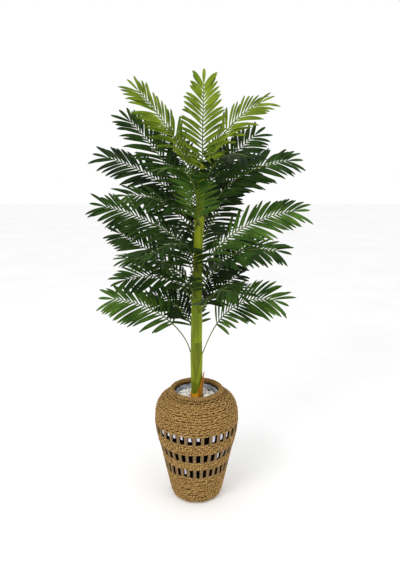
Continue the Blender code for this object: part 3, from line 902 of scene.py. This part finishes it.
def leaf_sheaths(materials):
    """From each frond's foot a sheath widens down the trunk, so that their edges cross in a V."""
    build = Build()
    narrow, wide = LEAF_SHEATH_ANGLES
    top_stand, low_stand = LEAF_SHEATH_STAND
    for frond in FRONDS.values():
        height, azimuth = frond.height, math.radians(frond.azimuth)
        length = min(LEAF_SHEATH_LENGTH, height - TRUNK_FOOT - LEAF_SHEATH_ABOVE_GROUND)
        rows, uvs, lit_shares = [], [], []
        for j in range(LEAF_SHEATH_ROWS + 1):
            share = j / LEAF_SHEATH_ROWS
            z = min(height + LEAF_SHEATH_ABOVE_FOOT, TRUNK_TOP) - length * share
            half = math.radians(narrow + (wide - narrow) * share**LEAF_SHEATH_WIDENING)
            stand = top_stand + (low_stand - top_stand) * share
            row, uv_row, lit_share_row = [], [], []
            for i in range(LEAF_SHEATH_COLUMNS + 1):
                across = 2 * i / LEAF_SHEATH_COLUMNS - 1
                # Painted shade along the sheath's two edges
                lit_share_row.append(1 - across**LEAF_SHEATH_PAINTED_SHADE_POWER)
                edge = 1 - LEAF_SHEATH_EDGE_DROP * across**LEAF_SHEATH_EDGE_POWER
                row.append(on_trunk(z, azimuth + half * across, stand * edge))
                uv_row.append((across, z))
            rows.append(row)
            uvs.append(uv_row)
            lit_shares.append(lit_share_row)
        build.grid(rows, uvs, lit_shares)
    piece = build.piece("leaf_sheaths", materials["leaf_sheath"])
    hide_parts("trunk")


def base_sheath(materials):
    """The brown cuff with its tongue and a torn, fibrous edge, as two skins and their edge."""
    rng = random.Random(SHEATH_SEED)
    tears = [rng.uniform(*SHEATH_TEAR_SPREAD) for column in range(SHEATH_COLUMNS)]
    build = Build()
    rows, uvs = [], []
    for layer, shares in ((0, range(SHEATH_ROWS + 1)), (1, range(SHEATH_ROWS, -1, -1))):
        for j in shares:
            share = j / SHEATH_ROWS
            row, uv_row = [], []
            for column in range(SHEATH_COLUMNS):
                azimuth = math.tau * column / SHEATH_COLUMNS
                facing = math.cos(azimuth - math.radians(SHEATH_TONGUE_AZIMUTH))
                tongue = max(0, facing) ** SHEATH_TONGUE_POWER
                height = SHEATH_LOW_HEIGHT + (SHEATH_TONGUE_HEIGHT - SHEATH_LOW_HEIGHT) * tongue
                height += SHEATH_TEAR * tears[column] * (SHEATH_CUFF_TEAR + tongue)
                z = TRUNK_FOOT + height * share
                off = SHEATH_CLEAR + SHEATH_TONGUE_LEAN * tongue * share**2 + SHEATH_WALL * (1 - layer)
                off += SHEATH_RIPPLE * math.sin(column * SHEATH_RIPPLE_TURN)
                row.append(on_trunk(z, azimuth, max(off, SHEATH_LEAST_CLEAR)))
                uv_row.append((column / SHEATH_COLUMNS, z))
            rows.append(row)
            uvs.append(uv_row)
    build.grid(rows, uvs, closed=True)
    piece = build.piece("torn_sheath", materials["sheath"])
    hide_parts("base_sheath")


# Fronds


def rib_direction(frond, share):
    """The rib's direction, its left-hand side and the blade's upper normal at a share of its length."""
    slope = math.radians(frond.rise + (frond.fall - frond.rise) * share**frond.bend)
    turn = math.radians(frond.azimuth + frond.swing * share**2)
    ahead = polar(math.cos(slope), turn, math.sin(slope))
    left = Vector((-math.sin(turn), math.cos(turn), 0))
    up = ahead.cross(left)
    tilt = math.radians(frond.roll) * min(1, 2 * share)
    rolled_left = left * math.cos(tilt) + up * math.sin(tilt)
    rolled_up = up * math.cos(tilt) - left * math.sin(tilt)
    return ahead, rolled_left, rolled_up


def rib_points(frond):
    """The rib from the trunk's skin to its tip, by small straight steps."""
    azimuth = math.radians(frond.azimuth)
    seat = trunk_skin(frond.height, azimuth) + SEAT_GAP
    stand_off = seat + math.sin(math.radians(frond.rise)) * RIB_THICKNESS / 2
    point = trunk_axis(frond.height) + polar(stand_off, azimuth, 0)
    points = [point.copy()]
    for i in range(RIB_STEPS):
        point = point + rib_direction(frond, (i + 0.5) / RIB_STEPS)[0] * frond.length / RIB_STEPS
        points.append(point.copy())
    return points


def rib_width(share):
    if share < PETIOLE_FOOT_SHARE:
        return PETIOLE_WIDTH + (PETIOLE_FOOT_WIDTH - PETIOLE_WIDTH) * (1 - share / PETIOLE_FOOT_SHARE)
    return PETIOLE_WIDTH + (RIB_TIP_WIDTH - PETIOLE_WIDTH) * share


def add_rib(build, frond, points):
    """A tapering rib, flatter than wide, with a shallow channel on its upper side."""
    rows, uvs = [], []
    for step, point in enumerate(points):
        share = step / RIB_STEPS
        _, left, up = rib_direction(frond, share)
        half_width = rib_width(share) / 2
        half_depth = min(RIB_THICKNESS / 2, half_width)
        row, uv_row = [], []
        for i in range(RIB_SIDES):
            angle = math.tau * i / RIB_SIDES
            rise = math.sin(angle) * (RIB_CHANNEL_DEPTH if math.sin(angle) > RIB_CHANNEL_FROM else 1)
            row.append(point + left * half_width * math.cos(angle) + up * half_depth * rise)
            uv_row.append((i / RIB_SIDES, share))
        rows.append(row)
        uvs.append(uv_row)
    build.grid(rows, uvs, closed=True)


def add_leaflet(build, root, out, edge, length, width, droop, curl):
    """A lanceolate blade folded along its midrib, drooping towards its tip."""
    up = out.cross(edge).normalized()
    if up.z < 0:
        up = -up
    rows, uvs = [], []
    for share, wide in LEAFLET_SHAPE:
        middle = root + out * length * share - Vector((0, 0, droop * length * share**2))
        middle += edge * curl * length * share**2
        half = edge * width / 2 * wide
        lift = up * (width / 2 * wide * LEAFLET_FOLD)
        inner = half * 0.5
        inner_lift = lift * LEAFLET_INNER_FOLD
        one_side = [middle - half + lift, middle - inner + inner_lift]
        other_side = [middle + (inner + inner_lift), middle + half + lift]
        rows.append([*one_side, middle, *other_side])
        uvs.append([(-1, share), (-0.5, share), (0, share), (0.5, share), (1, share)])
    build.grid(rows, uvs)


def clear_of_trunk(point):
    """Whether a leaflet's point lies above the trunk or well beside it."""
    if point.z > TRUNK_TOP:
        return True
    beside = point - trunk_axis(point.z)
    return math.hypot(beside.x, beside.y) > between(TRUNK_PROFILE, point.z) + LEAFLET_CLEAR_OF_TRUNK


def add_leaflets(build, frond, points, rng):
    """Leaflets in pairs by the solids' rule, with a little chance in each, and one at the tip.

    A petiole that doesn't show bare in the photograph carries leaflets on part of it too.
    """
    bare = frond.bare if frond.bare > LONG_BARE_SHARE else frond.bare * HIDDEN_FOOT_LEAFED
    pairs = round(frond.length * (1 - bare) / LEAFLET_PITCH)
    for side in (1, -1):
        for i in range(pairs):
            along = (i + (PAIR_STAGGER if side > 0 else 0.0)) / pairs
            share = bare + (1 - bare) * along
            ahead, left, up = rib_direction(frond, share)
            spread = LEAFLET_LEAVES_AT[0] + (LEAFLET_LEAVES_AT[1] - LEAFLET_LEAVES_AT[0]) * along
            away = math.radians(spread + rng.uniform(*LEAFLET_LEAVES_AT_SPREAD))
            across = left * side
            lifted = up * math.sin(math.radians(rng.uniform(*LEAFLET_LIFT_SPREAD)))
            out = (ahead * math.cos(away) + across * math.sin(away) + lifted).normalized()
            edge = (ahead * math.sin(away) - across * math.cos(away)).normalized()
            swell = math.sin(math.pi * min(1, LEAFLET_SWELL[0] + LEAFLET_SWELL[1] * along))
            blade = frond.leaf * (LEAFLET_SHORTEST + (1 - LEAFLET_SHORTEST) * swell)
            blade *= rng.uniform(*LEAFLET_LENGTH_SPREAD)
            place = share * RIB_STEPS
            low = min(int(place), RIB_STEPS - 1)
            root = points[low].lerp(points[low + 1], place - low)
            root = root + across * rib_width(share) * LEAFLET_ROOT_OFF_RIB
            droop = LEAFLET_DROOP + rng.uniform(*LEAFLET_DROOP_SPREAD)
            samples = [root + out * blade * part for part in LEAFLET_PROBES]
            if all(clear_of_trunk(sample) for sample in samples):
                width = LEAFLET_WIDTH * rng.uniform(*LEAFLET_WIDTH_SPREAD)
                curl = rng.uniform(*LEAFLET_CURL_SPREAD)
                add_leaflet(build, root, out, edge, blade, width, droop, curl)
    ahead, left, _ = rib_direction(frond, 1)
    add_leaflet(build, points[-1], ahead, left, END_LEAFLET, LEAFLET_WIDTH, END_LEAFLET_DROOP, 0)


def tone_of(name):
    for tone, names in TONES.items():
        if name in names:
            return tone
    return "middle"


def fronds(materials):
    """Ribs in one piece, and the leaflets in one piece for each tone."""
    rng = random.Random(LEAFLET_SEED)
    ribs = Build()
    blades = {}
    for name, frond in FRONDS.items():
        points = rib_points(frond)
        add_rib(ribs, frond, points)
        add_leaflets(blades.setdefault(tone_of(name), Build()), frond, points, rng)
    rib_piece = ribs.piece("frond_ribs", materials["rib"])
    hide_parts(*FRONDS)
    for tone, build in blades.items():
        piece = build.piece("leaves_" + tone, materials[tone])
        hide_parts(*[name for name in FRONDS if tone_of(name) == tone])


# Studio


def new_area_light(name, place, size, power, target):
    light = bpy.data.lights.new(name, "AREA")
    light.shape = "DISK"
    light.size = size
    light.energy = power
    lamp = bpy.data.objects.new(name, light)
    lamp.location = place
    lamp.rotation_euler = (Vector(target) - Vector(place)).to_track_quat("-Z", "Y").to_euler()
    bpy.context.collection.objects.link(lamp)


def studio():
    """Pale floor, white surroundings and two soft lights from the front."""
    mesh = bpy.data.meshes.new("floor")
    corners = [(x * FLOOR_REACH, y * FLOOR_REACH, 0) for x, y in ((-1, -1), (1, -1), (1, 1), (-1, 1))]
    mesh.from_pydata(corners, [], [(0, 1, 2, 3)])
    floor = bpy.data.objects.new("floor", mesh)
    floor_material = surface(
        "floor",
        [(0.3, colour(247, 247, 247)), (0.7, colour(252, 252, 252))],
        roughness=(0.85, 0.95),
        coarse=2,
        fine=40,
        bump=(0.01, 0.0005),
    )
    mesh.materials.append(floor_material)
    bpy.context.collection.objects.link(floor)
    world = bpy.data.worlds.new("studio")
    world.use_nodes = True
    background = world.node_tree.nodes["Background"]
    background.inputs["Color"].default_value = (1, 1, 1, 1)
    background.inputs["Strength"].default_value = WORLD_STRENGTH
    bpy.context.scene.world = world
    bpy.context.scene.view_settings.view_transform = "Standard"
    for name, (place, size, power) in LIGHTS.items():
        new_area_light(name, place, size, power, LIGHTS_LOOK_AT)


def camera():
    """The camera at the photograph's place and angle, with its field of view."""
    lens = bpy.data.cameras.new("photo_camera")
    lens.sensor_fit = "VERTICAL"
    lens.sensor_height = SENSOR
    lens.lens = PHOTO_FOCAL * SENSOR / PHOTO_HEIGHT
    place = bpy.data.objects.new("photo_camera", lens)
    place.location = CAMERA_PLACE
    place.rotation_euler = (math.radians(90 - CAMERA_LOOKS_DOWN), 0, 0)
    bpy.context.collection.objects.link(place)
    bpy.context.scene.camera = place


def dress(node, material):
    """Gives a CAD node that stays in view a better material."""
    node.data.materials.clear()
    node.data.materials.append(material)


def main():
    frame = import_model()
    materials = make_materials()
    camera()
    studio()
    basket_ropes(materials)
    basket_stakes(materials)
    basket_shade_sheet(materials)
    window_plastic(materials)
    basket_rim(materials)
    pebbles(materials)
    for node, material in (("collar", "collar"), ("inner_pot", "pot"), ("fill", "cement")):
        dress(frame["nodes"][node], materials[material])
    trunk(materials)
    leaf_sheaths(materials)
    base_sheath(materials)
    fronds(materials)


main()
